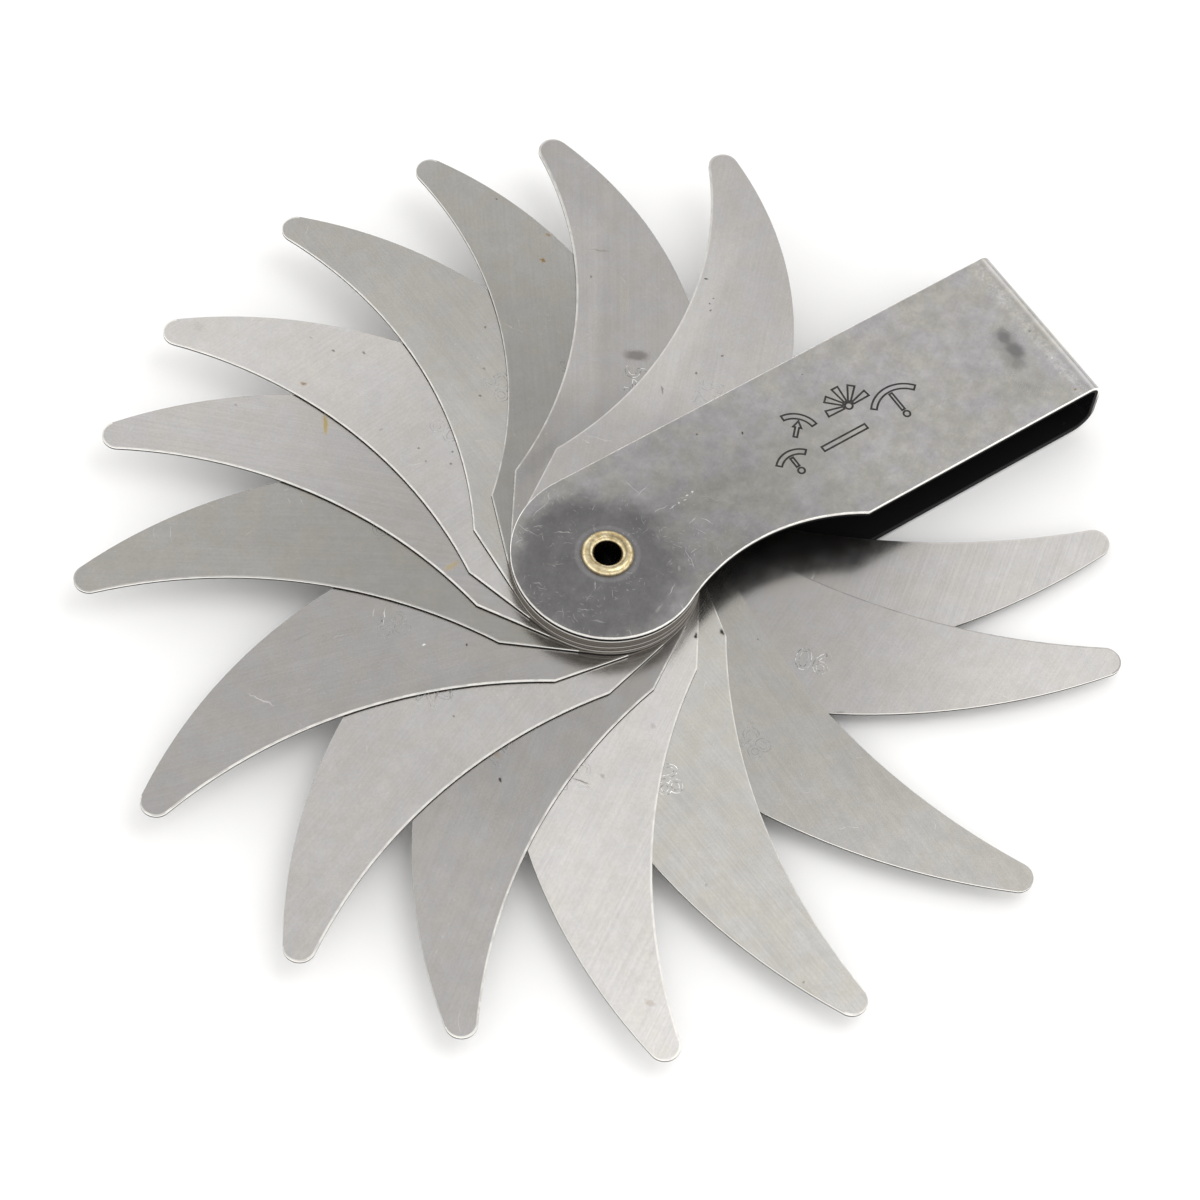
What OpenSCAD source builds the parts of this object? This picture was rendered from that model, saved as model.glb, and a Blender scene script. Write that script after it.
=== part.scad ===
/* [Sheet holder] */
// Thickness of the bent sheet
sheet_t = 0.8; // [0.5:0.1:1.2]
// Width of the holder, and of the neck of every blade
strip_w = 24.5; // [22:0.5:26]
// Distance from the pivot to the outside of the bend
holder_reach = 70.2; // [69.8:0.2:75]
// Outside radius of the bend where it meets the top plate
bend_top_r = 2; // [1.6:0.1:2.4]
// Outside radius of the bend where it meets the bottom plate
bend_bottom_r = 3; // [1.6:0.1:3.2]
// Radius of the thumb notch in the long edge
notch_r = 27.4; // [22:0.2:32]
// Distance along the holder from the pivot to the middle of the notch
notch_x = 17.6; // [14:0.2:20]

/* [Blades] */
// Thickness of one blade
blade_t = 0.45; // [0.3:0.05:0.6]
// Air between two neighbouring blades
blade_gap = 0.03; // [0.02:0.01:0.1]
// Air between an outer blade and the holder's plate
end_gap = 0.08; // [0.04:0.02:0.2]
// Distance from the pivot to the centre of the rounded tip
tip_reach = 64.6; // [60:0.1:65]
// Angle of the tip centre above the middle line of the neck
tip_angle = 8.75; // [7:0.25:10]
// Radius of the rounded tip
tip_r = 2; // [1.5:0.1:2.5]

/* [Hollow rivet] */
// Radius of the hole through the rivet
bore_r = 1.7; // [1.4:0.1:1.9]
// Outside radius of the rivet's tube
tube_r = 2.2; // [2.1:0.05:2.5]
// Outside radius of the rolled rims
rim_r = 3.4; // [3:0.1:4]
// Height of each rim above its plate
rim_h = 0.7; // [0.3:0.05:0.8]
// Running clearance between the tube and the holes it passes through
pivot_clearance = 0.05; // [0.02:0.01:0.1]

/* [Hidden] */
$fn = 240;

// Gauge radius of each blade, from the top of the stack to the bottom
RADII = [52, 54, 56, 58, 60, 62, 65, 68, 70, 72, 75, 80, 85, 90, 100];

// Direction of each blade's neck as the fan lies open, anticlockwise from the holder
FAN = [33, 53.5, 68.5, 86.5, 106.5, 122, 141, 170, 193, 212, 233.5, 254.5, 279, 309.5, 325.5];

// Overlap that makes a straight edge cross an arc instead of only touching it
blend = 0.01;

// Extra length by which a cutting outline passes the shape that it trims
past = 1.5;

head_r = strip_w / 2;
neck_h = head_r - blend;
hole_r = tube_r + pivot_clearance;

blades = len(RADII);
blade_pitch = blade_t + blade_gap;
slot_h = blades * blade_pitch - blade_gap + 2 * end_gap;
top_z = sheet_t + slot_h;
holder_h = top_z + sheet_t;

tip_c = tip_reach * [cos(tip_angle), sin(tip_angle)];
kink = [head_r, head_r];

// Lowest face of blade i, counted from the top of the stack
function blade_z(i) = sheet_t + end_gap + (blades - 1 - i) * blade_pitch;

// Point at distance ra from a and rb from b, on the left of the way from a to b
function meet(a, ra, b, rb) =
    let (
        d = norm(b - a),
        along = (b - a) / d,
        s = (ra * ra - rb * rb + d * d) / (2 * d),
        h = sqrt(ra * ra - s * s)
    )
    a + s * along + h * [-along.y, along.x];

// The concave edge starts at the kink and runs smoothly into the outside of the tip
function concave_c(r) = meet(kink, r, tip_c, r + tip_r);

// The convex edge leaves the neck's straight side smoothly and closes around the tip
function convex_c(r) =
    let (y = r - head_r, reach = r - tip_r)
    [tip_c.x - sqrt(reach * reach - pow(tip_c.y - y, 2)), y];

function unit(v) = v / norm(v);

// Plan of a plate: a round head and a straight strip with the thumb notch, cut off at x = end
module plate_outline(end) {
    notch_y = -sqrt(pow(head_r + notch_r, 2) - notch_x * notch_x);
    touch = 0.98 * head_r * unit([notch_x, notch_y]);
    difference() {
        union() {
            circle(r = head_r);
            polygon([
                [0, 0], [0, neck_h], [end, neck_h], [end, -neck_h], [notch_x, -neck_h], touch
            ]);
        }
        translate([notch_x, notch_y]) circle(r = notch_r + blend);
        circle(r = hole_r);
    }
}

// Quarter turn of the sheet about an axis along Y, from the underside direction to +X
module bend(outer_r) {
    rotate([90, 0, 0])
        rotate_extrude(angle = 90)
            translate([outer_r - sheet_t, -neck_h]) square([sheet_t, 2 * neck_h]);
}

module holder() {
    top_end = holder_reach - bend_top_r;
    bottom_end = holder_reach - bend_bottom_r;
    wall_h = holder_h - bend_top_r - bend_bottom_r;
    color("silver") union() {
        translate([0, 0, top_z]) linear_extrude(sheet_t) plate_outline(top_end);
        linear_extrude(sheet_t) plate_outline(bottom_end);
        translate([holder_reach - sheet_t, -neck_h, bend_bottom_r])
            cube([sheet_t, 2 * neck_h, wall_h]);
        translate([top_end, 0, holder_h - bend_top_r]) bend(bend_top_r);
        translate([bottom_end, 0, bend_bottom_r]) mirror([0, 0, 1]) bend(bend_bottom_r);
    }
}

// Half profile of a rolled rim: a low round bead that stands on the plate at height z
module bead(z) {
    half_w = (rim_r - bore_r) / 2;
    bead_r = (half_w * half_w + rim_h * rim_h) / (2 * rim_h);
    translate([bore_r, z]) intersection() {
        square([2 * half_w, rim_h]);
        translate([half_w, rim_h - bead_r]) circle(r = bead_r);
    }
}

module pivot_eyelet() {
    color("darkkhaki") rotate_extrude() {
        translate([bore_r, 0]) square([tube_r - bore_r, holder_h]);
        bead(holder_h);
        mirror([0, 1]) bead(0);
    }
}

// Plan of a blade with its neck along +X and its concave edge towards +Y
module blade_outline(r) {
    hollow = concave_c(r);
    belly = convex_c(r);
    tip_in = tip_c + (tip_r + past) * unit(hollow - tip_c);
    tip_out = tip_c - (tip_r + past) * unit(belly - tip_c);
    difference() {
        union() {
            circle(r = head_r);
            translate([0, -neck_h]) square([belly.x, 2 * neck_h]);
            intersection() {
                translate(belly) circle(r = r);
                polygon([
                    [belly.x / 2, neck_h], [kink.x + past, neck_h], tip_in, tip_c, tip_out,
                    [tip_out.x, -head_r - past], [belly.x / 2, -head_r - past]
                ]);
            }
            translate(tip_c) circle(r = tip_r + blend);
        }
        translate(hollow) circle(r = r);
        circle(r = hole_r);
    }
}

module blade(i) {
    color(i % 2 == 0 ? "darkgray" : "lightgray")
        translate([0, 0, blade_z(i)])
            rotate(FAN[i])
                linear_extrude(blade_t) blade_outline(RADII[i]);
}

holder();
pivot_eyelet();
for (i = [0 : blades - 1])
    blade(i);
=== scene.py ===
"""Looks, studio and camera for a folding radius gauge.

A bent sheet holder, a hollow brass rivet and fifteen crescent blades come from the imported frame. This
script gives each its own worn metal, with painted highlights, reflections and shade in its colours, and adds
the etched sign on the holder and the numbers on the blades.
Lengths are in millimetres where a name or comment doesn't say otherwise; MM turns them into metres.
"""
import math

import bpy
from mathutils import Matrix, Quaternion, Vector


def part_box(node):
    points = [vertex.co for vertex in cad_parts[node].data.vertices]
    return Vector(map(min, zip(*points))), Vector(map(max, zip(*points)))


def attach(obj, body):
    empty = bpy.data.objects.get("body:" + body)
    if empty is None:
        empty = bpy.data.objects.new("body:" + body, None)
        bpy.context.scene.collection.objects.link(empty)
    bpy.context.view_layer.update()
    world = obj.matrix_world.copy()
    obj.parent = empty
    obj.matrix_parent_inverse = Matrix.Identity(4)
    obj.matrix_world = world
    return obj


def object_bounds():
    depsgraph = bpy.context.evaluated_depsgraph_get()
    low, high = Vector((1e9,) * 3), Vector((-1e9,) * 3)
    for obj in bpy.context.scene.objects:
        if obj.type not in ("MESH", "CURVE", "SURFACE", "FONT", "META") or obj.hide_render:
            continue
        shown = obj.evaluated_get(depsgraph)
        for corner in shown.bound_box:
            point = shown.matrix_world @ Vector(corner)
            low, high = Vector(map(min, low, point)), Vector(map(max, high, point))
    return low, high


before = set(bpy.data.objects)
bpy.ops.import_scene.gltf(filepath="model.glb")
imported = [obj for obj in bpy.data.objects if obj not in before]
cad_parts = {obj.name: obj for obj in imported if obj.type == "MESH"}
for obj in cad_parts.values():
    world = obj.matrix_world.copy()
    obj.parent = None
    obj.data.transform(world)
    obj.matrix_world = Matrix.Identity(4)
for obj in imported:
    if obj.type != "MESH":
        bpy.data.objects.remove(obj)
cad_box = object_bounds()

MM = 0.001
BLADE_PREFIX = "blade_r"

# Plan sizes, as in the solid model
HEAD_R = 12.25
TIP_REACH = 64.6
TIP_R = 2.0
NOTCH_R = 27.4
NOTCH_X = 17.6
BEND_R = 2.0
# Angle from a blade's neck to its tip, as seen from the pivot
TIP_LEAD = math.radians(8.75)

# Stands for the distance to a line that doesn't count at a point
FAR_AWAY = 99.0
# Scale that takes the height out of a mark, so that it runs straight through the sheet
FLAT = 1e6

# Brightness of the room at eye level, on its bright walls and overhead
HORIZON = 0.5
WALLS = 1.6
ZENITH = 0.95
ROOM_TINT = (1.0, 0.995, 0.985, 1)
# The key light: its place and side in metres, and its power in watts
KEY_AT = (0.27, -0.16, 0.78)
KEY_SIDE = 0.5
KEY_POWER = 1.3
# The camera: azimuth, elevation and roll in degrees, the point of the top plate's plane that it looks at,
# its distance in metres and its focal length
CAMERA_ANGLES = (-41.4, 58.8, 8.55)
CAMERA_TARGET = (-4.6, -5.1)
CAMERA_DISTANCE = 0.4583
CAMERA_LENS = 110.4
# The floor: radius in metres, air below the object, and its darkest and palest grey
FLOOR_R = 2.5
FLOOR_GAP = 0.02
FLOOR_GREYS = (0.87, 0.89)

# The painted highlight and painted shadow lines of a cut edge (the shadow colour also paints shade into the
# holder's inside), and a plain edge in the stack under the head
EDGE_BRIGHT = (0.93, 0.91, 0.87)
EDGE_DARK = (0.008, 0.0075, 0.008)
HUB_EDGE = (0.155, 0.138, 0.12)
# Width of the painted line along a blade's hollow edge; width, fall and strength of the holder's rim, a
# rounded worn edge whose bright line is a painted highlight
BLADE_RIM = 0.26
HOLDER_RIM = (0.14, 0.06, 0.9)
# Share of a blade's cut edge painted as a highlight, the rest painted as shadow, and how far outside its head
# the hub's colours reach
BRIGHT_SHARE = 0.5
HUB_MARGIN = 0.2
# How strongly a blade's head shows a painted highlight line above and a painted shadow line below in the
# stack, by its radius
HUB_LINES = {
    52: (0.6, 0.1), 56: (0.0, 0.45), 58: (0.3, 0.2), 60: (0.0, 0.6), 62: (0.35, 0.2), 65: (0.1, 0.95),
    70: (0.2, 0.3), 72: (0.0, 0.5), 75: (0.35, 0.2), 80: (0.0, 0.6), 85: (0.3, 0.2), 100: (0.0, 0.9),
}
OTHER_HUB_LINES = (0.0, 0.25)

# Steel away from its marks: roughness between its stains, specular level and depth of its relief
STEEL_ROUGH = (0.21, 0.25)
STEEL_SPECULAR = 0.15
RELIEF = 0.02
# A mark or speck is rougher than the steel around it and less of a metal; a cut face is rough all over
MARK_ROUGHER = 0.3
MARK_DULLER = 0.7
CUT_ROUGH = 0.7
# How far one sheet's stains and grinding lines lie from the next one's in the noise, for each unit of its
# seed, a blade's seed for each millimetre of its radius, and the holder's seed
STAIN_STEP = (53.0, 31.0)
GRAIN_STEP = 29.0
BLADE_SEED = 0.37
HOLDER_SEED = 3.3
# Grinding lines are long one way and fine the other; their direction on the holder, in degrees
GRAIN_STRETCH = (0.05, 4.6, 1.0)
HOLDER_GRAIN = 35.0
# How much the finest grain changes the brightness
FINE_SWING = 0.025
# How far noise bends the outline of a mark, and the share of its size that has its full strength
MARK_WOBBLE = 0.7
MARK_CORE = 0.35
# Layers of short scratches: size of a cell, length, width and strength, and how pale all of them are
SCRATCH_LAYERS = ((4.2, 4.4, 0.12, 0.9), (1.9, 1.7, 0.10, 0.8), (0.75, 0.5, 0.11, 0.6))
SCRATCH_PALE = 0.34
# How far beyond its limit a scratched area fades, and what is left of the scratches there
SCRATCH_FADE = 14.0
SCRATCH_LEFT = 0.15

# The dark patch on the holder's head, a painted reflection: its middle, the radii between which it fades,
# and the brightness inside it and on the plate beside it
PATCH_AT = (-2.5, -1.0)
PATCH_FADE = (8.3, 12.5)
PATCH_TONE = 0.163
HOLDER_TONE = 0.275
# How much paler the holder is at the bend, along its straight side, in a ring around the rivet and in the
# worn band, the ring's radius, and how much the mottling changes the brightness
BEND_PALER = 0.14
SIDE_PALER = 0.06
RING_PALER = 0.05
BAND_PALER = 0.11
RING_R = 3.9
MOTTLING = 0.09

# Colours of the marks
RUST = (0.20, 0.13, 0.055)
OIL = (0.34, 0.26, 0.10)
DIRT = (0.11, 0.10, 0.09)
PIT = (0.035, 0.028, 0.02)
PALE = (0.86, 0.86, 0.85)
SMUDGE = (0.095, 0.095, 0.095)

# The rivet's colours, the third one for painted shade, the radius of the groove in its rim that is painted
# dark as shade, and where its bore turns black with painted shade
BRASS_DARK = (0.40, 0.31, 0.16, 1)
BRASS_PALE = (0.70, 0.61, 0.40, 1)
BRASS_SHADE = (0.035, 0.022, 0.010, 1)
BORE_BLACK = (0.003, 0.002, 0.001, 1)
GROOVE_R = 2.35
BORE_FADE = (1.86, 1.73)

# The two tints that each blade's stains run between
WARM_BLADES = (56, 58, 65, 80, 85)
WARM_TINTS = ((1.0, 0.968, 0.895), (1.0, 0.98, 0.945))
COOL_TINTS = ((1.0, 0.962, 0.92), (1.0, 0.975, 0.965))
# The blades whose number stands out, and the dark and light of a clear and of a faint number beside the
# steel: the light is a painted highlight on the stamped relief and the dark its painted shadow
CLEAR_NUMBERS = (54, 80, 90)
CLEAR_LINES = (0.4, 1.7)
FAINT_LINES = (0.62, 0.92)
STAMPED_ROUGH = 0.4

# Figures on the blades: middle of the number, height, line width and how far the lines stand up
NUMBER_X = 28.6
NUMBER_Y = -2.0
NUMBER_H = 3.3
NUMBER_LINE = 0.10
NUMBER_LIFT = 0.006
# How far the place and the angle, in degrees, of a hand-stamped number vary
NUMBER_SHIFT = 0.9
NUMBER_TILT = 2.5
# Height of a figure as a share of the font's size
FIGURE_SHARE = 0.73

# The sign on the holder: line width, how far the lines stand up, width of a thick stroke, and its colours
SIGN_LINE = 0.27
SIGN_LIFT = 0.008
SIGN_STROKE = 0.75
ETCHED_DARK = (0.010, 0.009, 0.008)
ETCHED_LIGHT = (0.035, 0.032, 0.03)
ETCHED_ROUGH = 0.55
# Corners of a thick arc along one side, and of a full small circle
ARC_STEPS = 18
DOT_STEPS = 15

# How each blade looks, by its gauge radius: brightness at the neck and at the tip, the change between them a
# painted reflection, painted shade near the hub (1 for none), the direction of its grinding lines in degrees
# from the neck, how strongly they show, a paler band along its hollow side that is a painted sheen, how
# bright the painted highlight line along its hollow edge is (a painted shadow line if below zero) and its own
# marks.
# A mark is its kind, its middle from the pivot, its length and width, its turn in degrees and its strength.
BLADES = {
    52: dict(tones=(0.51, 0.48), hub=0.8, grain=12, streaks=0.02, band=0.10, line=0.4, marks=[
        (PIT, 45.5, 5.0, 0.7, 0.4, 70, 0.9), (PIT, 43.0, 3.0, 0.4, 0.4, 0, 0.7),
        (PIT, 42.0, 3.0, 0.4, 0.4, 0, 0.8), (PIT, 41.0, 2.5, 0.5, 0.4, 0, 0.7),
        (PIT, 35.0, -1.5, 0.5, 0.4, 0, 0.7), (PIT, 31.0, 0.5, 0.5, 0.4, 0, 0.7),
        (DIRT, 26.5, 3.5, 2.0, 0.35, 30, 0.7), (DIRT, 52.0, -4.5, 2.2, 0.5, 10, 0.25),
    ]),
    54: dict(tones=(0.41, 0.41), hub=0.75, grain=3, streaks=0.02, band=0.10, line=0.5, marks=[
        (DIRT, 31.5, -2.5, 4.6, 2.4, 90, 0.75), (DIRT, 48.0, 3.0, 3.4, 0.3, 88, 0.5),
        (OIL, 40.0, -0.5, 7.0, 2.2, 0, 0.12), (PIT, 43.5, 4.0, 0.6, 0.5, 0, 0.6),
        (SMUDGE, 14.0, 9.5, 10.0, 3.0, -35, 0.3),
    ]),
    56: dict(tones=(0.31, 0.40), hub=1.0, grain=-8, streaks=0.02, band=0.0, line=0.6, marks=[
        (RUST, 47.0, -2.0, 1.4, 0.5, 60, 0.9), (RUST, 51.0, -3.5, 1.1, 0.8, 30, 0.7),
        (PIT, 58.0, 2.0, 0.5, 0.4, 0, 0.7), (RUST, 47.0, -2.0, 1.1, 0.45, -20, 0.9),
    ]),
    58: dict(tones=(0.46, 0.43), hub=0.95, grain=5, streaks=0.02, band=0.05, line=0.95, marks=[
        (RUST, 34.0, -6.5, 0.9, 0.5, 0, 0.5), (DIRT, 31.0, -4.0, 1.6, 0.5, 40, 0.35),
        (PIT, 29.5, 1.5, 0.4, 0.4, 0, 0.7), (PIT, 33.0, -1.0, 0.5, 0.4, 0, 0.5),
        (PIT, 38.5, -4.5, 0.5, 0.5, 0, 0.6),
    ]),
    60: dict(tones=(0.52, 0.64), hub=1.0, grain=80, streaks=0.02, band=0.0, line=0.95, marks=[
        (RUST, 46.5, 5.0, 1.2, 0.7, 20, 0.8), (DIRT, 44.0, -4.0, 0.8, 0.5, 0, 0.8),
        (DIRT, 47.0, -1.5, 0.8, 0.4, 0, 0.8), (DIRT, 50.5, -1.0, 0.8, 0.4, 0, 0.4),
        (PIT, 25.5, 0.0, 0.5, 0.4, 0, 0.7), (PIT, 24.5, 1.5, 0.6, 0.5, 0, 0.7),
        (PIT, 27.0, 3.5, 0.5, 0.4, 0, 0.6), (PIT, 29.0, 2.5, 0.5, 0.5, 0, 0.7),
        (DIRT, 34.5, 3.5, 1.0, 0.4, 60, 0.4), (DIRT, 62.5, 7.5, 2.4, 1.6, 0, 0.15),
    ]),
    62: dict(tones=(0.40, 0.55), hub=1.0, grain=15, streaks=0.025, band=0.0, line=0.95, marks=[
        (OIL, 41.0, -3.5, 4.2, 0.9, 114, 0.9), (OIL, 17.5, 8.5, 3.2, 1.2, 62, 0.6),
        (DIRT, 52.5, -1.0, 0.7, 0.5, 0, 0.5),
    ]),
    65: dict(tones=(0.33, 0.41), hub=1.0, grain=6, streaks=0.02, band=0.0, line=0.35, marks=[
        (PALE, 27.5, -6.0, 1.0, 0.3, 50, 0.6), (DIRT, 52.0, -3.0, 0.6, 0.5, 0, 0.6),
    ]),
    68: dict(tones=(0.38, 0.41), hub=1.0, grain=-5, streaks=0.02, band=0.0, line=0.9, marks=[
        (PALE, 28.5, -4.0, 3.2, 0.18, 65, 0.7), (PALE, 29.5, -5.0, 1.4, 0.2, 60, 0.4),
        (PALE, 25.5, 1.5, 0.7, 0.5, 0, 0.9), (PIT, 20.5, 3.5, 0.4, 0.4, 0, 0.9),
        (PIT, 29.0, -3.5, 0.4, 0.4, 0, 0.7), (PALE, 47.0, 1.5, 4.6, 0.3, 130, 0.35),
        (DIRT, 39.0, -5.0, 5.0, 0.35, 8, 0.3),
    ]),
    70: dict(tones=(0.50, 0.51), hub=1.0, grain=10, streaks=0.02, band=0.0, line=0.8, marks=[
        (DIRT, 26.5, -1.5, 1.9, 0.3, 60, 0.6), (DIRT, 28.0, -2.5, 2.6, 0.3, 25, 0.45),
        (PIT, 28.5, 1.0, 0.4, 0.4, 0, 0.6),
    ]),
    72: dict(tones=(0.35, 0.44), hub=1.0, grain=4, streaks=0.02, band=0.0, line=0.8, marks=[
        (RUST, 29.5, -1.5, 2.4, 1.2, 60, 0.35), (PIT, 32.5, 0.5, 0.8, 0.7, 0, 0.95),
        (DIRT, 25.5, -1.0, 1.6, 0.5, 30, 0.5), (RUST, 39.5, -8.0, 1.2, 0.7, 0, 0.6),
        (RUST, 46.0, -5.5, 0.8, 0.5, 0, 0.4),
    ]),
    75: dict(tones=(0.64, 0.66), hub=1.0, grain=-22, streaks=0.025, band=0.0, line=0.7, marks=[
        (DIRT, 29.5, -1.5, 3.0, 0.3, 74, 0.8), (DIRT, 28.5, 1.0, 1.2, 0.8, 60, 0.45),
        (DIRT, 21.0, 7.0, 1.2, 0.9, 0, 0.3), (RUST, 42.5, -7.0, 1.6, 0.9, 30, 0.7),
        (RUST, 58.5, 8.0, 1.8, 1.0, 70, 0.35), (DIRT, 25.0, -1.5, 0.7, 0.5, 0, 0.6),
        (PIT, 7.5, 12.0, 1.2, 0.9, 0, 1.0),
    ]),
    80: dict(tones=(0.54, 0.51), hub=1.0, grain=18, streaks=0.03, band=0.0, line=0.6, marks=[
        (DIRT, 26.0, -1.5, 0.6, 0.5, 0, 0.5), (PIT, 60.0, 5.0, 0.5, 0.4, 0, 0.5),
        (DIRT, 44.5, -2.0, 0.6, 0.5, 0, 0.4), (PIT, 11.5, 12.0, 1.4, 1.1, 0, 1.0),
    ]),
    85: dict(tones=(0.41, 0.47), hub=1.0, grain=-12, streaks=0.02, band=0.0, line=0.0, marks=[
        (PIT, 19.0, 9.0, 0.5, 0.4, 0, 0.5), (DIRT, 27.0, 0.0, 1.8, 0.4, 20, 0.2),
    ]),
    90: dict(tones=(0.40, 0.63), hub=1.0, grain=75, streaks=0.02, band=0.0, line=-0.3, marks=[
        (DIRT, 33.5, -8.5, 1.4, 0.5, 20, 0.5), (DIRT, 52.0, -2.0, 0.6, 0.5, 0, 0.3),
    ]),
    100: dict(tones=(0.39, 0.62), hub=1.0, grain=70, streaks=0.04, band=0.0, line=0.2, marks=[
        (PALE, 27.0, 3.0, 3.0, 0.3, 70, 0.3), (DIRT, 22.5, -3.0, 3.0, 0.4, 60, 0.3),
    ]),
}

HOLDER_MARKS = [
    # The smudge near the bend
    (SMUDGE, 63.5, -2.0, 3.0, 3.8, 10, 0.7), (SMUDGE, 63.5, 0.5, 2.4, 3.6, -10, 0.6),
    (SMUDGE, 63.0, -1.0, 5.5, 8.5, 0, 0.45), (SMUDGE, 62.5, -4.0, 2.4, 3.0, 0, 0.2),
    (SMUDGE, 62.5, -6.5, 6.0, 10.0, 0, 0.2),
    # Pits
    (PIT, 25.0, 6.0, 0.5, 0.5, 0, 0.95), (PIT, 20.0, 9.0, 0.5, 0.4, 0, 0.7),
    (PIT, 37.0, 9.5, 0.4, 0.4, 0, 0.6),
    # A chain of white flecks beside the pivot
    (PALE, 9.5, 2.0, 2.6, 0.16, 0, 0.30), (PALE, 11.0, 1.5, 1.4, 0.2, 0, 0.40),
    (PALE, 12.0, 1.5, 0.5, 0.3, 0, 0.6), (PALE, 13.0, 1.5, 0.5, 0.25, 0, 0.5),
    (PALE, 13.5, 2.0, 0.6, 0.35, 0, 0.65), (PALE, 14.5, 2.0, 0.5, 0.45, 0, 0.75),
    # Longer scratches
    (PALE, 13.5, -2.5, 2.2, 0.16, -70, 0.35), (PALE, 12.0, -1.5, 1.6, 0.15, 20, 0.30),
    (PALE, 9.0, 5.5, 2.2, 0.16, 15, 0.25), (PALE, -3.5, 10.0, 4.2, 0.16, 15, 0.30),
    (PALE, -1.5, 11.0, 1.4, 0.16, 60, 0.30), (PALE, -3.0, 5.5, 3.0, 0.15, -35, 0.30),
    (PALE, -4.0, -3.0, 1.9, 0.16, 60, 0.30), (PALE, -10.0, 1.0, 1.8, 0.15, -50, 0.25),
    (PALE, 4.0, -8.5, 3.0, 0.16, 30, 0.25), (PALE, 1.0, -10.0, 2.2, 0.5, 20, 0.14),
    (PALE, 6.5, -6.5, 1.4, 0.6, 60, 0.12), (PALE, -6.5, -7.5, 2.2, 0.4, -40, 0.16),
    (DIRT, 46.0, -2.5, 5.0, 0.3, 12, 0.30), (DIRT, 49.5, -3.5, 6.0, 0.25, -8, 0.25),
    (PALE, 41.0, -7.0, 2.6, 1.2, 20, 0.10),
    # The worn band along the bend
    (RUST, 66.5, -11.0, 0.7, 0.5, 0, 0.8), (DIRT, 67.0, -0.5, 0.6, 0.5, 0, 0.6),
    (PALE, 67.0, -4.5, 0.9, 3.0, 0, 0.12), (PALE, 67.0, -9.5, 1.0, 2.6, 0, 0.18),
    (PALE, 67.0, -5.5, 0.3, 0.4, 0, 0.6), (PALE, 66.5, -8.0, 0.4, 0.3, 0, 0.5),
]


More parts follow.
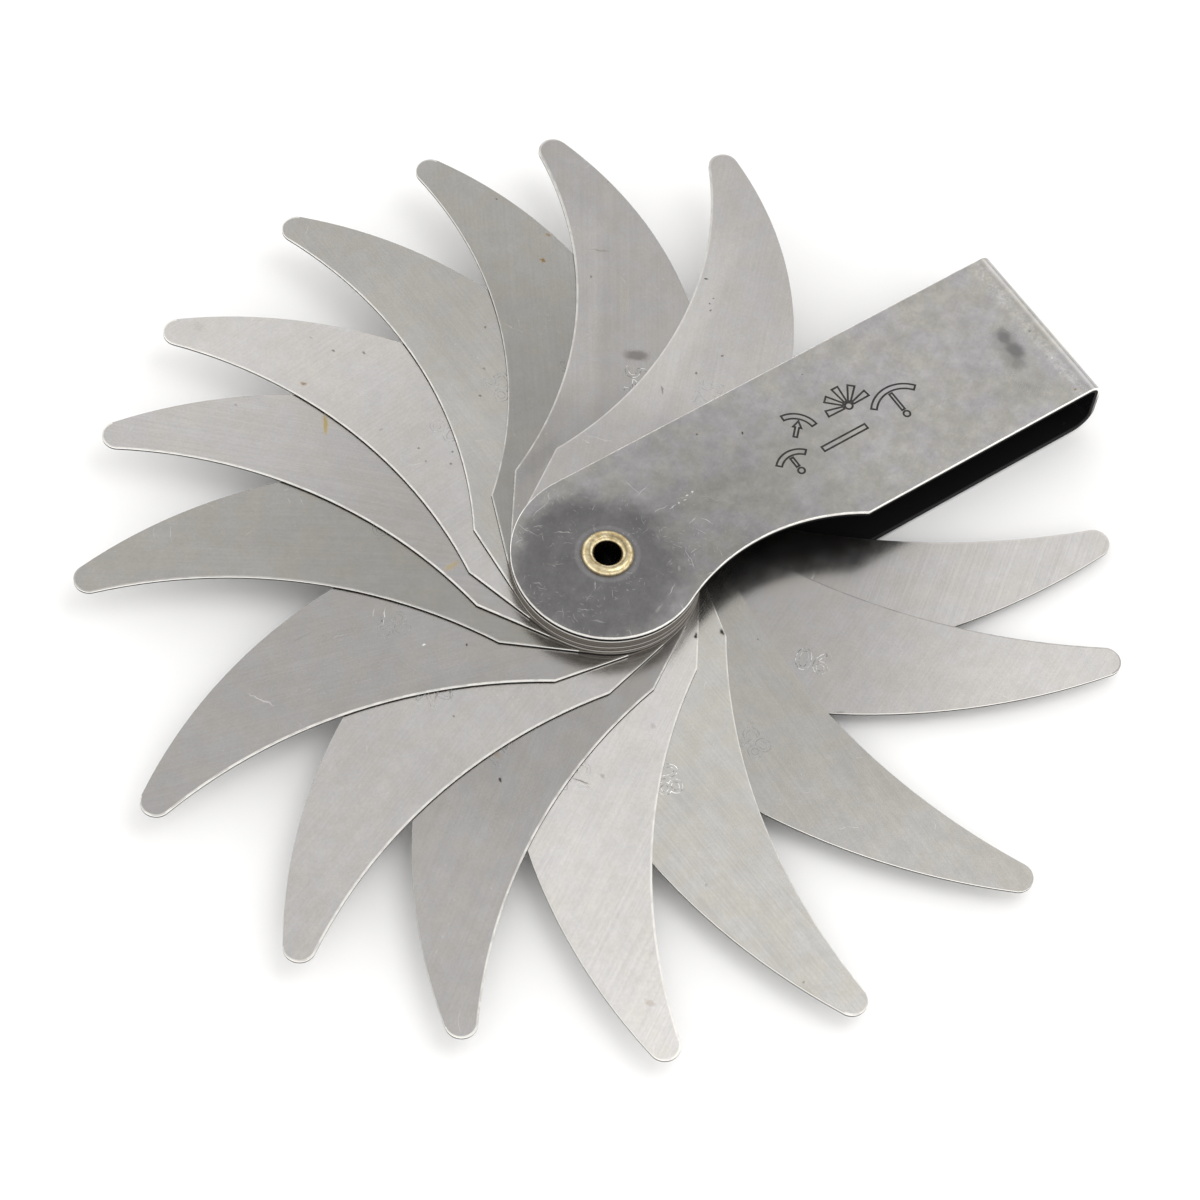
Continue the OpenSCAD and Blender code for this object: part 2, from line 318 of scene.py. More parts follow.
class Graph:
    """A shader under construction. Each call adds one node and returns its result."""

    def __init__(self, name):
        self.material = bpy.data.materials.new(name)
        self.material.use_nodes = True
        self.tree = self.material.node_tree
        self.tree.nodes.clear()

    def put(self, socket, value):
        if isinstance(value, bpy.types.NodeSocket):
            self.tree.links.new(value, socket)
        else:
            socket.default_value = value

    def add(self, kind, sockets, out=0, **settings):
        node = self.tree.nodes.new("ShaderNode" + kind)
        for key, value in settings.items():
            setattr(node, key, value)
        for key, value in sockets.items():
            self.put(node.inputs[key], value)
        return node.outputs[out]

    def math(self, operation, *values):
        return self.add("Math", dict(enumerate(values)), operation=operation)

    def remap(self, value, low, high, to_low=0.0, to_high=1.0):
        """value from low..high, eased to to_low..to_high and held there outside."""
        sockets = {0: value, 1: low, 2: high, 3: to_low, 4: to_high}
        return self.add("MapRange", sockets, interpolation_type="SMOOTHSTEP")

    def mix(self, factor, a, b, blend="MIX"):
        return self.add("Mix", {0: factor, 6: a, 7: b}, out=2, data_type="RGBA", blend_type=blend)

    def where(self, mask, yes, no):
        """yes where mask is 1, and no where it is 0."""
        return self.add("Mix", {0: mask, 2: no, 3: yes}, data_type="FLOAT")

    def least(self, *values):
        total = values[0]
        for value in values[1:]:
            total = self.math("MINIMUM", total, value)
        return total

    def parts(self, value, kind="SeparateXYZ"):
        """The three parts of a vector or a colour."""
        node = self.tree.nodes.new("ShaderNode" + kind)
        self.put(node.inputs[0], value)
        return node.outputs

    def level(self, vector):
        """The same point at height 0."""
        return self.add("VectorMath", {0: vector, 1: (1, 1, 0)}, operation="MULTIPLY")

    def reach(self, flat, centre):
        """Distance in plan from a centre."""
        return self.add("VectorMath", {0: flat, 1: (centre[0], centre[1], 0)}, out=1, operation="DISTANCE")

    def grey(self, value):
        return self.add("CombineColor", {0: value, 1: value, 2: value})

    def place(self, turn=0.0, offset=(0, 0, 0), stretch=(1, 1, 1)):
        """Object coordinates in millimetres, turned back by turn, then moved and stretched."""
        raw = self.add("TexCoord", {}, out="Object")
        turned = self.add("Mapping", {"Vector": raw, "Rotation": (0, 0, -turn), "Scale": (1 / MM,) * 3})
        moved = self.add("VectorMath", {0: turned, 1: offset}, operation="ADD")
        return self.add("VectorMath", {0: moved, 1: stretch}, operation="MULTIPLY")

    def noise(self, vector, scale, detail=3.0, roughness=0.55):
        sockets = {"Vector": vector, "Scale": scale, "Detail": detail, "Roughness": roughness}
        return self.add("TexNoise", sockets, out="Fac")

    def noise_colour(self, vector, scale):
        return self.add("TexNoise", {"Vector": vector, "Scale": scale, "Detail": 2.0}, out="Color")

    def cells(self, vector, scale, dimensions="3D"):
        """Distance to the nearest random point, its place, and two random numbers of that point."""
        voronoi = self.tree.nodes.new("ShaderNodeTexVoronoi")
        voronoi.voronoi_dimensions = dimensions
        self.put(voronoi.inputs["Vector"], vector)
        self.put(voronoi.inputs["Scale"], scale)
        random = self.parts(voronoi.outputs["Color"], "SeparateColor")
        return voronoi.outputs["Distance"], voronoi.outputs["Position"], random[0], random[1]

    def blobs(self, vector, scale, share, smallest, largest, soft):
        """Mask of scattered round marks: share of the cells hold one. Sizes are in cells."""
        distance, _, pick, size = self.cells(vector, scale)
        radius = self.math("MULTIPLY_ADD", size, largest - smallest, smallest)
        inside = self.math("SUBTRACT", radius, distance)
        disc = self.remap(inside, 0.0, soft)
        return self.math("MULTIPLY", disc, self.math("LESS_THAN", pick, share))

    def strokes(self, vector, cell, share, length, width):
        """Mask of short scratches at random places and turns, in share of the cells, one to a cell."""
        _, position, turn, pick = self.cells(vector, 1 / cell, "2D")
        away = self.add("VectorMath", {0: self.level(vector), 1: position}, operation="SUBTRACT")
        angle = self.math("MULTIPLY", turn, math.tau)
        turned = self.add("VectorRotate", {"Vector": away, "Angle": angle}, rotation_type="Z_AXIS")
        x, y, _ = self.parts(turned)
        along = self.remap(self.math("ABSOLUTE", x), length / 2, length / 5)
        across = self.remap(self.math("ABSOLUTE", y), width / 2, width / 6)
        chosen = self.math("LESS_THAN", pick, share)
        return self.math("MULTIPLY", self.math("MULTIPLY", along, across), chosen)

    def smear(self, vector, x, y, length, width, turn):
        """Mask of one soft oval with the middle x, y, turned by turn degrees."""
        sockets = {
            "Vector": vector, "Location": (x, y, 0), "Rotation": (0, 0, math.radians(turn)),
            "Scale": (length / 2, width / 2, FLAT),
        }
        inside = self.add("Mapping", sockets, vector_type="TEXTURE")
        return self.remap(self.add("VectorMath", {0: inside}, out=1, operation="LENGTH"), 1.0, MARK_CORE)

    def finish(self, **sockets):
        bsdf = self.tree.nodes.new("ShaderNodeBsdfPrincipled")
        for key, value in sockets.items():
            self.put(bsdf.inputs[key.replace("_", " ")], value)
        out = self.tree.nodes.new("ShaderNodeOutputMaterial")
        self.tree.links.new(bsdf.outputs[0], out.inputs[0])
        return self.material


def worn_steel(name, turn, grain_turn, seed, wear_and_rim_light, marks, tone_of, edge_of, rim_of):
    """Ground sheet steel with its own marks.

    The surface settings hold the strengths of the clouds, stains, streaks, specks and scratches, the x up to
    which the scratches reach, the strength of the relief, the width, fall, strength and colour of the line
    along the outline (a painted highlight where that colour is bright, a painted shadow where it is dark)
    and the two tints. From a point in the sheet's own plan, tone_of(g, x, y) gives the brightness, painted
    reflections and painted shade included, and how cool the tint is, edge_of(g, facing, flat, x, z) the
    masks of painted highlight, painted shade and plain edge and of all cut faces, and rim_of(g, flat, x, y)
    the distance to the outline.
    """
    g = Graph(name)
    local = g.place(turn)
    x, y, z = g.parts(local)
    at = g.place(turn, (STAIN_STEP[0] * seed, STAIN_STEP[1] * seed, 0.0))
    along_grain = g.place(turn + math.radians(grain_turn), (GRAIN_STEP * seed, 0, 0), GRAIN_STRETCH)

    clouds = g.noise(at, 0.09, 3.0)
    stains = g.noise(at, 0.45, 5.0, 0.65)
    fine = g.noise(at, 3.2, 2.0)
    streaks = g.noise(along_grain, 1.0, 1.0, 0.5)
    hue = g.noise(at, 0.26, 4.0, 0.6)
    specks = g.blobs(at, 0.22, wear_and_rim_light["specks"], 0.02, 0.055, 0.02)

    tone, cool_part = tone_of(g, x, y)
    for mask, low, high, swing in (
        (clouds, 0.3, 0.7, wear_and_rim_light["clouds"]),
        (stains, 0.3, 0.7, wear_and_rim_light["stains"]),
        (streaks, 0.25, 0.75, wear_and_rim_light["streaks"]),
        (fine, 0.3, 0.7, FINE_SWING),
    ):
        tone = g.math("MULTIPLY", tone, g.remap(mask, low, high, 1.0 - swing, 1.0 + swing))
    warm, cool = wear_and_rim_light["tints"]
    tint = g.mix(g.math("MAXIMUM", g.remap(hue, 0.40, 0.60), cool_part), (*warm, 1), (*cool, 1))
    colour = g.mix(1.0, g.grey(tone), tint, "MULTIPLY")
    curved = g.add("VectorMath", {0: at, 1: g.noise_colour(at, 0.7)}, operation="ADD")
    scratches = 0.0
    for cell, length, width, strength in SCRATCH_LAYERS:
        layer = g.strokes(curved, cell, wear_and_rim_light["scratches"], length, width)
        scratches = g.math("MAXIMUM", scratches, g.math("MULTIPLY", layer, strength))
    limit = wear_and_rim_light["scratched_to"]
    if limit is not None:
        scratches = g.math("MULTIPLY", scratches, g.remap(x, limit + SCRATCH_FADE, limit, SCRATCH_LEFT, 1.0))
    gathered = g.remap(g.noise(at, 0.22, 4.0, 0.6), 0.44, 0.60, 0.08, 1.0)
    scratches = g.math("MULTIPLY", scratches, gathered)
    colour = g.mix(g.math("MULTIPLY", scratches, SCRATCH_PALE), colour, (*PALE, 1))
    colour = g.mix(g.math("MULTIPLY", specks, wear_and_rim_light["speck_depth"]), colour, (*PIT, 1))

    wobble = g.add("VectorMath", {0: g.noise_colour(at, 1.1), 1: (0.5, 0.5, 0.5)}, operation="SUBTRACT")
    wobble = g.add("VectorMath", {0: wobble, "Scale": MARK_WOBBLE}, operation="SCALE")
    ragged = g.add("VectorMath", {0: local, 1: wobble}, operation="ADD")
    dull = specks
    for kind, mark_x, mark_y, length, width, mark_turn, strength in marks:
        mark = g.smear(ragged, mark_x, mark_y, length, width, mark_turn)
        mark = g.math("MULTIPLY", mark, strength)
        colour = g.mix(mark, colour, (*kind, 1))
        if kind != PALE:
            dull = g.math("MAXIMUM", dull, mark)

    facing = g.parts(g.add("TexCoord", {}, out="Normal"))
    flat = g.level(local)
    bright, dark, plain, cut = edge_of(g, facing, flat, x, z)
    face = g.math("SUBTRACT", 1.0, cut)
    distance = rim_of(g, flat, x, y)
    # The line along the outline, uneven along its length: a painted highlight where its colour is bright and
    # a painted shadow where it is dark
    rim_w, rim_fall, rim_strength, rim_colour = wear_and_rim_light["rim"]
    rim = g.math("MULTIPLY", g.remap(distance, rim_w, 0.3 * rim_w), face)
    rim = g.math("MULTIPLY", rim, g.remap(g.noise(at, 0.7), 0.35, 0.6, 0.5 * rim_strength, rim_strength))
    # Onto the colour go the plain edge in the stack, the painted line along the outline, the painted
    # highlight of the cut edges and the painted shade
    colour = g.mix(plain, colour, (*HUB_EDGE, 1))
    colour = g.mix(rim, colour, (*rim_colour, 1))
    colour = g.mix(bright, colour, (*EDGE_BRIGHT, 1))
    colour = g.mix(dark, colour, (*EDGE_DARK, 1))

    rough = g.remap(stains, 0.3, 0.7, *STEEL_ROUGH)
    rough = g.math("ADD", rough, g.math("MULTIPLY_ADD", streaks, 0.06, -0.03))
    rough = g.math("ADD", rough, g.math("MULTIPLY", dull, MARK_ROUGHER))
    rough = g.where(face, rough, CUT_ROUGH)
    height = g.math("MULTIPLY_ADD", streaks, 0.4, g.math("MULTIPLY", fine, 0.2))
    height = g.math("SUBTRACT", height, g.math("MULTIPLY", dull, 1.2))
    height = g.math("SUBTRACT", height, g.math("MULTIPLY", scratches, 0.4))
    height = g.math("MULTIPLY", height, face)
    bump = g.add("Bump", {"Strength": wear_and_rim_light["bump"], "Distance": RELIEF * MM, "Height": height})
    if rim_fall:
        fall = g.remap(distance, 0.0, rim_w)
        bump = g.add("Bump", {"Strength": face, "Distance": rim_fall * MM, "Height": fall, "Normal": bump})
    metal = g.math("SUBTRACT", 1.0, g.math("MULTIPLY", dull, MARK_DULLER))
    metal = g.math("MULTIPLY", g.math("MULTIPLY", metal, face), g.math("SUBTRACT", 1.0, dark))
    return g.finish(
        Base_Color=colour, Metallic=metal, Roughness=rough, Normal=bump, Specular_IOR_Level=STEEL_SPECULAR
    )


def side_face(g, facing):
    """Mask of the faces that stand upright."""
    return g.math("LESS_THAN", g.math("ABSOLUTE", facing[2]), 0.5)


def split_edge(g, side, z, low, high):
    """Masks of the painted highlight on the upper part of a blade's cut edge, and of the painted shadow on
    its lower part.
    """
    line = high - BRIGHT_SHARE * (high - low)
    upper = g.remap(z, line - 0.06, line + 0.04)
    bright = g.math("MULTIPLY", side, upper)
    return bright, g.math("SUBTRACT", side, bright)


def blade_turn(node):
    """Direction of a blade's neck, from the place of its far end."""
    tip = max((v.co for v in node.data.vertices), key=lambda co: co.xy.length)
    return math.atan2(tip.y, tip.x) - TIP_LEAD


def blade_rim(g, flat, x, y, radius):
    """Distance from a point of a blade to its hollow edge or the end of its tip."""
    tip = Vector((math.cos(TIP_LEAD), math.sin(TIP_LEAD))) * TIP_REACH
    kink = Vector((HEAD_R, HEAD_R))
    gap = tip - kink
    outer = radius + TIP_R
    along = (radius**2 - outer**2 + gap.length**2) / (2 * gap.length)
    off = math.sqrt(radius**2 - along**2)
    ahead = gap.normalized()
    hollow = kink + ahead * along + Vector((-ahead.y, ahead.x)) * off
    belly_y = radius - HEAD_R
    belly = Vector((tip.x - math.sqrt((radius - TIP_R) ** 2 - (tip.y - belly_y) ** 2), belly_y))

    concave = g.math("SUBTRACT", g.reach(flat, hollow), radius)
    upper = g.where(g.math("GREATER_THAN", x, kink.x), concave, g.math("SUBTRACT", HEAD_R, y))
    inner_touch = tip + (hollow - tip).normalized() * TIP_R
    outer_touch = tip - (belly - tip).normalized() * TIP_R
    across = (outer_touch - inner_touch).normalized()
    outward = Vector((-across.y, across.x))
    if outward.dot(tip) < 0:
        outward.negate()
    ahead_of_cap = g.add("VectorMath", {0: flat, 1: (*outward, 0)}, out=1, operation="DOT_PRODUCT")
    in_cap = g.math("GREATER_THAN", ahead_of_cap, outward.dot(inner_touch))
    cap = g.where(in_cap, g.math("SUBTRACT", TIP_R, g.reach(flat, tip)), FAR_AWAY)
    return g.least(upper, cap)


def blade_material(radius, turn, low, high):
    look = BLADES[radius]
    near, far = look["tones"]
    wear_and_rim_light = {
        "clouds": 0.025, "stains": 0.02, "streaks": look["streaks"], "specks": 0.08, "speck_depth": 0.45,
        "scratches": 0.03, "scratched_to": None, "bump": 0.14,
        # The line along the hollow edge: a painted highlight, and a painted shadow where line is below zero
        "rim": (BLADE_RIM, 0.0, abs(look["line"]), EDGE_BRIGHT if look["line"] > 0 else EDGE_DARK),
        "tints": WARM_TINTS if radius in WARM_BLADES else COOL_TINTS,
    }
    hub_bright, hub_dark = HUB_LINES.get(radius, OTHER_HUB_LINES)

    def tone(g, x, y):
        # Painted reflection: the brightness changes from the neck to the tip
        plain = g.remap(x, 22.0, 60.0, near, far)
        # A paler band along the hollow side, a painted sheen
        band = g.math("MULTIPLY", g.remap(y, 1.6, 3.6), g.remap(x, 56.0, 50.0))
        plain = g.math("ADD", plain, g.math("MULTIPLY", band, look["band"] * near))
        # Painted shade near the hub
        return g.math("MULTIPLY", plain, g.remap(x, 17.0, 30.0, look["hub"], 1.0)), 0.0

    def edges(g, facing, flat, x, z):
        side = side_face(g, facing)
        # The upper part of a cut edge gets a painted highlight and the lower part a painted shadow
        bright, dark = split_edge(g, side, z, low / MM, high / MM)
        hub = g.math("LESS_THAN", g.reach(flat, (0, 0)), HEAD_R + HUB_MARGIN)
        # Under the head the cut edges are plain, with the painted highlight and painted shadow scaled by
        # radius
        bright = g.math("MULTIPLY", bright, g.where(hub, hub_bright, 1.0))
        dark = g.math("MULTIPLY", dark, g.where(hub, hub_dark, 1.0))
        return bright, dark, g.math("MULTIPLY", hub, side), side

    def rim(g, flat, x, y):
        return blade_rim(g, flat, x, y, radius)

    return worn_steel(
        f"blade_steel_{radius}", turn, look["grain"], radius * BLADE_SEED, wear_and_rim_light, look["marks"],
        tone, edges, rim,
    )


def away_from(g, x, y, centre_x=0.0, centre_y=0.0):
    """Distance in plan from a centre, from the two separate coordinates."""
    across, up = g.math("SUBTRACT", x, centre_x), g.math("SUBTRACT", y, centre_y)
    return g.math("SQRT", g.math("ADD", g.math("MULTIPLY", across, across), g.math("MULTIPLY", up, up)))


def holder_material():
    low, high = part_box("holder")
    reach, plate_top = high.x / MM, high.z / MM
    wear_and_rim_light = {
        "clouds": 0.04, "stains": 0.06, "streaks": 0.012, "specks": 0.05, "speck_depth": 0.6,
        "scratches": 0.45, "scratched_to": 9.0, "bump": 0.22,
        # The rim's bright line is a painted highlight on a rounded, worn edge
        "rim": (*HOLDER_RIM, EDGE_BRIGHT),
        "tints": ((1.0, 0.975, 0.905), (1.0, 0.975, 0.985)),
    }

    def tone(g, x, y):
        # The dark patch on the round head, a painted reflection, with an uneven outline
        place = g.place(0.0, (7.0, 3.0, 0.0))
        uneven = g.math("MULTIPLY_ADD", g.noise(place, 0.3, 4.0, 0.6), 6.0, -3.0)
        around = g.math("ADD", away_from(g, x, y, *PATCH_AT), uneven)
        plain = g.remap(around, *PATCH_FADE, PATCH_TONE, HOLDER_TONE)
        # Paler towards the bend, and along the straight side
        plain = g.math("ADD", plain, g.remap(x, 10.0, 47.0, 0.0, BEND_PALER))
        upper_side = g.math("MULTIPLY", g.remap(x, 40.0, 16.0), g.remap(y, 0.0, 9.0, 0.0, SIDE_PALER))
        upper_side = g.math("MULTIPLY", upper_side, g.remap(around, 9.0, 13.0))
        plain = g.math("ADD", plain, upper_side)
        mottled = g.noise(place, 0.34, 6.0, 0.7)
        plain = g.math("MULTIPLY", plain, g.remap(mottled, 0.3, 0.7, 1.0 - MOTTLING, 1.0 + MOTTLING))
        # A pale ring pressed around the rivet's rim
        off_ring = g.math("ABSOLUTE", g.math("SUBTRACT", away_from(g, x, y), RING_R))
        plain = g.math("ADD", plain, g.remap(off_ring, 0.45, 0.1, 0.0, RING_PALER))
        # The worn band just before the bend
        worn = g.math("MULTIPLY", g.remap(x, reach - 4.6, reach - 3.3), g.remap(x, reach - 1.9, reach - 2.6))
        ragged = g.remap(g.noise(g.place(0.0, (2.0, 9.0, 0.0)), 2.4, 5.0, 0.75), 0.42, 0.62, 0.15, 1.0)
        worn = g.math("MULTIPLY", g.math("MULTIPLY", worn, ragged), BAND_PALER)
        return g.math("ADD", plain, worn), g.remap(around, 13.0, 9.0)

    def rim(g, flat, x, y):
        notch = (NOTCH_X, -math.sqrt((HEAD_R + NOTCH_R) ** 2 - NOTCH_X**2))
        long_edge = g.math("SUBTRACT", HEAD_R, g.math("ABSOLUTE", y))
        thumb = g.math("SUBTRACT", g.reach(flat, notch), NOTCH_R)
        round_head = g.math("SUBTRACT", HEAD_R, g.reach(flat, (0, 0)))
        head = g.where(g.math("LESS_THAN", x, 0.0), round_head, FAR_AWAY)
        below = g.math("MULTIPLY", g.math("LESS_THAN", x, NOTCH_X / 3), g.math("LESS_THAN", y, 0.0))
        head = g.where(below, round_head, head)
        return g.least(long_edge, thumb, head)

    def edges(g, facing, flat, x, z):
        # The long cut edge carries a painted highlight that runs round the bend, so it is measured from the
        # outside of the sheet
        at_bend = g.math("GREATER_THAN", x, reach - 3.2)
        wall = g.math("MULTIPLY", at_bend, g.math("GREATER_THAN", g.math("ABSOLUTE", facing[0]), 0.5))
        cut = g.math("MULTIPLY", side_face(g, facing), g.math("SUBTRACT", 1.0, wall))
        over_x, over_z = g.math("SUBTRACT", x, reach - BEND_R), g.math("SUBTRACT", z, plate_top - BEND_R)
        beyond = [g.math("POWER", g.math("MAXIMUM", over, 0.0), 2.0) for over in (over_x, over_z)]
        within = g.math("MINIMUM", g.math("MAXIMUM", over_x, over_z), 0.0)
        depth = g.math("ADD", g.math("SQRT", g.math("ADD", *beyond)), within)
        bright = g.remap(g.math("SUBTRACT", BEND_R, depth), 0.45, 0.30)
        # The painted highlight is weaker lower down the cut edge
        bright = g.math("MULTIPLY", bright, g.remap(z, plate_top - 4.0, plate_top - 1.5, 0.35, 1.0))
        bright = g.math("MULTIPLY", bright, cut)
        # The inside of the holder is painted dark, as painted shade in the slot
        upper_half = g.math("GREATER_THAN", z, plate_top / 2)
        lower_half = g.math("LESS_THAN", z, plate_top / 2)
        under_top = g.math("MULTIPLY", g.math("LESS_THAN", facing[2], -0.3), upper_half)
        over_bottom = g.math("MULTIPLY", g.math("GREATER_THAN", facing[2], 0.3), lower_half)
        inner_wall = g.math("MULTIPLY", g.math("LESS_THAN", facing[0], -0.3), at_bend)
        inside = g.math("MAXIMUM", g.math("MAXIMUM", under_top, over_bottom), inner_wall)
        # The rest of the cut faces gets painted shade
        rest = g.math("MULTIPLY", cut, g.math("SUBTRACT", 1.0, bright))
        return bright, g.math("MAXIMUM", inside, rest), 0.0, cut

    return worn_steel(
        "holder_steel_look", 0.0, HOLDER_GRAIN, HOLDER_SEED, wear_and_rim_light, HOLDER_MARKS, tone, edges, rim
    )


def rivet_material():
    g = Graph("aged_brass")
    at = g.place(0.0, (11.0, 5.0, 0.0))
    x, y, _ = g.parts(g.place())
    radius = away_from(g, x, y)
    rim_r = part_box("pivot_eyelet")[1].x / MM
    patches = g.noise(at, 1.1, 5.0, 0.65)
    fine = g.noise(at, 9.0, 3.0)
    colour = g.mix(g.remap(patches, 0.35, 0.65), BRASS_DARK, BRASS_PALE)
    # Painted shade at the foot of the rim, in the groove and down the bore
    rim_shadow = g.remap(radius, rim_r - 0.22, rim_r - 0.02, 0.0, 0.8)
    bore = g.remap(radius, *BORE_FADE)
    groove = g.remap(g.math("ABSOLUTE", g.math("SUBTRACT", radius, GROOVE_R)), 0.22, 0.04, 0.0, 0.5)
    painted_shade = g.math("MAXIMUM", g.math("MAXIMUM", rim_shadow, groove), bore)
    colour = g.mix(painted_shade, colour, BRASS_SHADE)
    colour = g.mix(bore, colour, BORE_BLACK)
    rough = g.remap(patches, 0.3, 0.7, 0.30, 0.16)
    bump = g.add("Bump", {"Strength": 0.3, "Distance": 0.03 * MM, "Height": g.math("ADD", patches, fine)})
    metal = g.math("SUBTRACT", 1.0, g.math("MULTIPLY", painted_shade, 0.8))
    return g.finish(Base_Color=colour, Metallic=metal, Roughness=rough, Normal=bump)


def line_material(name, dark, light, roughness):
    g = Graph(name)
    # Patches of the dark and the light colour; on the stamped numbers they are the painted shadow and the
    # painted highlight of the relief
    worn = g.remap(g.noise(g.place(), 1.4, 4.0), 0.35, 0.65)
    colour = g.mix(worn, (*dark, 1), (*light, 1))
    rough = g.remap(worn, 0.0, 1.0, roughness, roughness + 0.15)
    return g.finish(Base_Color=colour, Metallic=0.4, Roughness=rough)


def flat_lines(name, curve, line_w, lift, place, material, body):
    """A piece of low rounded lines along a curve's outlines, laid on a face by the matrix place."""
    curve.fill_mode = "NONE"
    curve.bevel_depth = line_w * MM / 2
    curve.bevel_resolution = 1
    maker = bpy.data.objects.new(name + "_curve", curve)
    bpy.context.collection.objects.link(maker)
    bpy.context.view_layer.update()
    evaluated = maker.evaluated_get(bpy.context.evaluated_depsgraph_get())
    mesh = bpy.data.meshes.new_from_object(evaluated)
    bpy.data.objects.remove(maker)
    mesh.transform(place @ Matrix.Diagonal((1, 1, lift / (line_w / 2), 1)))
    mesh.materials.clear()
    mesh.materials.append(material)
    piece = bpy.data.objects.new(name, mesh)
    bpy.context.collection.objects.link(piece)
    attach(piece, body)


def number_curve(text):
    """A curve of one number's figures."""
    curve = bpy.data.curves.new("number", "FONT")
    curve.body = text
    curve.size = NUMBER_H * MM / FIGURE_SHARE
    curve.align_x = "CENTER"
    curve.align_y = "CENTER"
    curve.resolution_u = 5
    return curve


def loops_curve(loops):
    """A curve made of closed outlines."""
    curve = bpy.data.curves.new("loops", "CURVE")
    curve.dimensions = "2D"
    for loop in loops:
        spline = curve.splines.new("POLY")
        spline.points.add(len(loop) - 1)
        for point, (x, y) in zip(spline.points, loop):
            point.co = (x * MM, y * MM, 0, 1)
        spline.use_cyclic_u = True
    return curve


def arc(cx, cy, r, start, end, steps=ARC_STEPS):
    """Points along an arc, between two angles in degrees."""
    angles = [math.radians(start + (end - start) * k / steps) for k in range(steps + 1)]
    return [(cx + r * math.cos(a), cy + r * math.sin(a)) for a in angles]


def dot(cx, cy, r):
    """Outline of a small circle; it closes from its last point to its first."""
    return arc(cx, cy, r, 0, 345, DOT_STEPS)


def arc_band(cx, cy, r, start, end, width):
    """Outline of a thick arc with square ends."""
    return arc(cx, cy, r + width / 2, start, end) + arc(cx, cy, r - width / 2, end, start)


def bar(x0, y0, x1, y1, width):
    """Outline of a straight stroke with square ends."""
    start, end = Vector((x0, y0)), Vector((x1, y1))
    along = (end - start).normalized()
    off = Vector((-along.y, along.x)) * width / 2
    return [start + off, end + off, end - off, start - off]


def radius_arrow(cx, cy, length, turn, width, head):
    """Outline of an arrow from a centre point towards an arc."""
    half = width / 2
    shape = [
        (0, half), (length - head, half), (length - head, head * 0.55), (length, 0),
        (length - head, -head * 0.55), (length - head, -half), (0, -half),
    ]
    c, s = math.cos(math.radians(turn)), math.sin(math.radians(turn))
    return [(cx + x * c - y * s, cy + x * s + y * c) for x, y in shape]


def leaf(cx, cy, start, end, turn, width):
    """Outline of a fan leaf, narrow at the hub and wide at its far end."""
    c, s = math.cos(math.radians(turn)), math.sin(math.radians(turn))
    corners = ((start, 0.18), (end, width / 2), (end, -width / 2), (start, -0.18))
    return [(cx + r * c - w * s, cy + r * s + w * c) for r, w in corners]


def holder_mark(material):
    """Generic range sign: a radius symbol and an open fan over a small arc, a dash and a large arc."""
    symbol = (30.6, 2.0)
    loops = [arc_band(*symbol, 3.2, 4, 86, SIGN_STROKE), radius_arrow(*symbol, 2.5, 45, 0.5, 1.0)]
    hub = (39.4, 2.3)
    loops.append(dot(*hub, 0.5))
    loops += [leaf(*hub, 0.75, 3.2, turn, 0.95) for turn in (8, 49, 90, 131, 172)]
    dash_y = -1.4
    loops.append(bar(32.6, dash_y, 39.5, dash_y, SIGN_STROKE))
    centre_y = -2.6
    for x, radius, half in ((28.3, 2.9, 46), (45.2, 4.3, 50)):
        loops.append(arc_band(x, centre_y, radius, 90 - half, 90 + half, SIGN_STROKE))
        loops.append(dot(x, centre_y, 0.45))
        loops.append(bar(x, centre_y + 0.75, x, centre_y + radius - 0.7, 0.45))
    place = Matrix.Translation((0, 0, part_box("holder")[1].z))
    lines = loops_curve(loops)
    flat_lines("holder_mark", lines, SIGN_LINE, SIGN_LIFT, place, material, "holder")


def blade_number(name, radius, turn, material):
    """The gauge radius near the neck, read from the tip with its top towards the convex edge."""
    shift = NUMBER_SHIFT * math.sin(radius * 2.3)
    middle = Vector((NUMBER_X + shift, NUMBER_Y + 0.6 * shift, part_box(name)[1].z / MM)) * MM
    tilt = math.pi + math.radians(NUMBER_TILT) * math.sin(radius)
    place = Matrix.Rotation(turn, 4, "Z") @ Matrix.Translation(middle) @ Matrix.Rotation(tilt, 4, "Z")
    curve = number_curve(str(radius))
    flat_lines(f"number_{radius}", curve, NUMBER_LINE, NUMBER_LIFT, place, material, name)


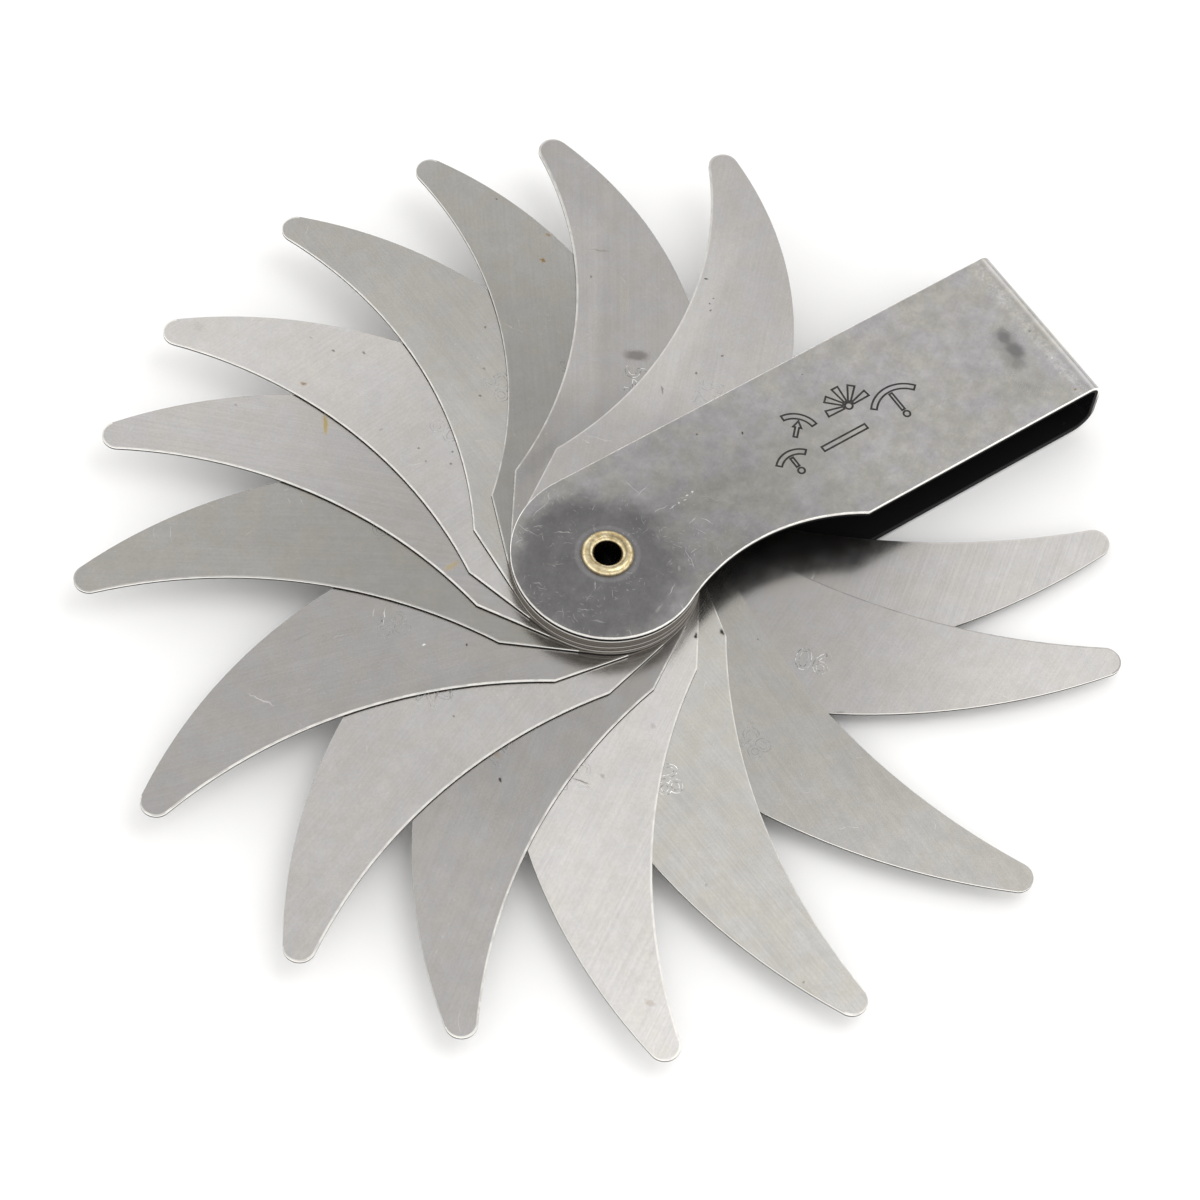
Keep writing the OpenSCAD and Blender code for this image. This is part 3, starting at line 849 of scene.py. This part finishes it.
def studio():
    """Pale floor, one soft key light and a bright room."""
    scene = bpy.context.scene
    scene.view_settings.view_transform = "Standard"
    place = (0, 0, cad_box[0].z - FLOOR_GAP * MM)
    bpy.ops.mesh.primitive_circle_add(vertices=96, radius=FLOOR_R, fill_type="NGON", location=place)
    floor = bpy.context.object
    floor.name = "studio_floor"
    g = Graph("pale_floor")
    shade = g.remap(g.noise(g.place(), 0.05, 2.0), 0.3, 0.7, *FLOOR_GREYS)
    floor.data.materials.append(g.finish(Base_Color=g.grey(shade), Roughness=0.75))

    world = bpy.data.worlds.new("bright_room")
    scene.world = world
    world.use_nodes = True
    tree = world.node_tree
    background = tree.nodes["Background"]
    background.inputs["Color"].default_value = ROOM_TINT
    direction = tree.nodes.new("ShaderNodeTexCoord")
    split = tree.nodes.new("ShaderNodeSeparateXYZ")
    tree.links.new(direction.outputs["Generated"], split.inputs[0])
    # Brightness by height: up from the horizon to the walls, then down from the walls to the zenith
    steps = []
    for low, high, from_value, to_value in ((0.0, 0.25, HORIZON, WALLS), (0.5, 0.72, 0.0, ZENITH - WALLS)):
        step = tree.nodes.new("ShaderNodeMapRange")
        step.interpolation_type = "SMOOTHSTEP"
        step.inputs["From Min"].default_value = low
        step.inputs["From Max"].default_value = high
        step.inputs["To Min"].default_value = from_value
        step.inputs["To Max"].default_value = to_value
        tree.links.new(split.outputs["Z"], step.inputs["Value"])
        steps.append(step.outputs[0])
    total = tree.nodes.new("ShaderNodeMath")
    total.operation = "ADD"
    tree.links.new(steps[0], total.inputs[0])
    tree.links.new(steps[1], total.inputs[1])
    tree.links.new(total.outputs[0], background.inputs["Strength"])

    light = bpy.data.lights.new("key", "AREA")
    light.shape = "SQUARE"
    light.size = KEY_SIDE
    light.energy = KEY_POWER
    lamp = bpy.data.objects.new("key", light)
    lamp.location = KEY_AT
    lamp.rotation_mode = "QUATERNION"
    lamp.rotation_quaternion = Vector(KEY_AT).to_track_quat("Z", "Y")
    bpy.context.collection.objects.link(lamp)


def camera():
    """A long lens that looks down at the gauge from the notched side."""
    azimuth, elevation, roll = (math.radians(angle) for angle in CAMERA_ANGLES)
    target = Vector((*(c * MM for c in CAMERA_TARGET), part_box("holder")[1].z))
    plan = math.cos(elevation)
    back = Vector((math.sin(azimuth) * plan, -math.cos(azimuth) * plan, math.sin(elevation)))
    data = bpy.data.cameras.new("camera")
    data.lens = CAMERA_LENS
    data.sensor_width = 36.0
    data.clip_start, data.clip_end = 0.01, 20.0
    cam = bpy.data.objects.new("camera", data)
    cam.location = target + back * CAMERA_DISTANCE
    cam.rotation_mode = "QUATERNION"
    cam.rotation_quaternion = back.to_track_quat("Z", "Y") @ Quaternion((0, 0, 1), roll)
    bpy.context.collection.objects.link(cam)
    bpy.context.scene.camera = cam


def dress(node, material):
    node.data.materials.clear()
    node.data.materials.append(material)


camera()
studio()
dress(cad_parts["holder"], holder_material())
dress(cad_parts["pivot_eyelet"], rivet_material())
holder_mark(line_material("etched_line", ETCHED_DARK, ETCHED_LIGHT, ETCHED_ROUGH))
for name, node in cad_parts.items():
    if name.startswith(BLADE_PREFIX):
        radius = int(name.removeprefix(BLADE_PREFIX))
        turn = blade_turn(node)
        dress(node, blade_material(radius, turn, *(corner.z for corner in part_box(name))))
        # The number's lines: the light a painted highlight on the relief and the dark its painted shadow,
        # scaled to the blade's brightness at the neck
        shade = BLADES[radius]["tones"][0]
        dark, light = CLEAR_LINES if radius in CLEAR_NUMBERS else FAINT_LINES
        greys = ((dark * shade,) * 3, (light * shade,) * 3)
        blade_number(name, radius, turn, line_material(f"stamped_line_{radius}", *greys, STAMPED_ROUGH))
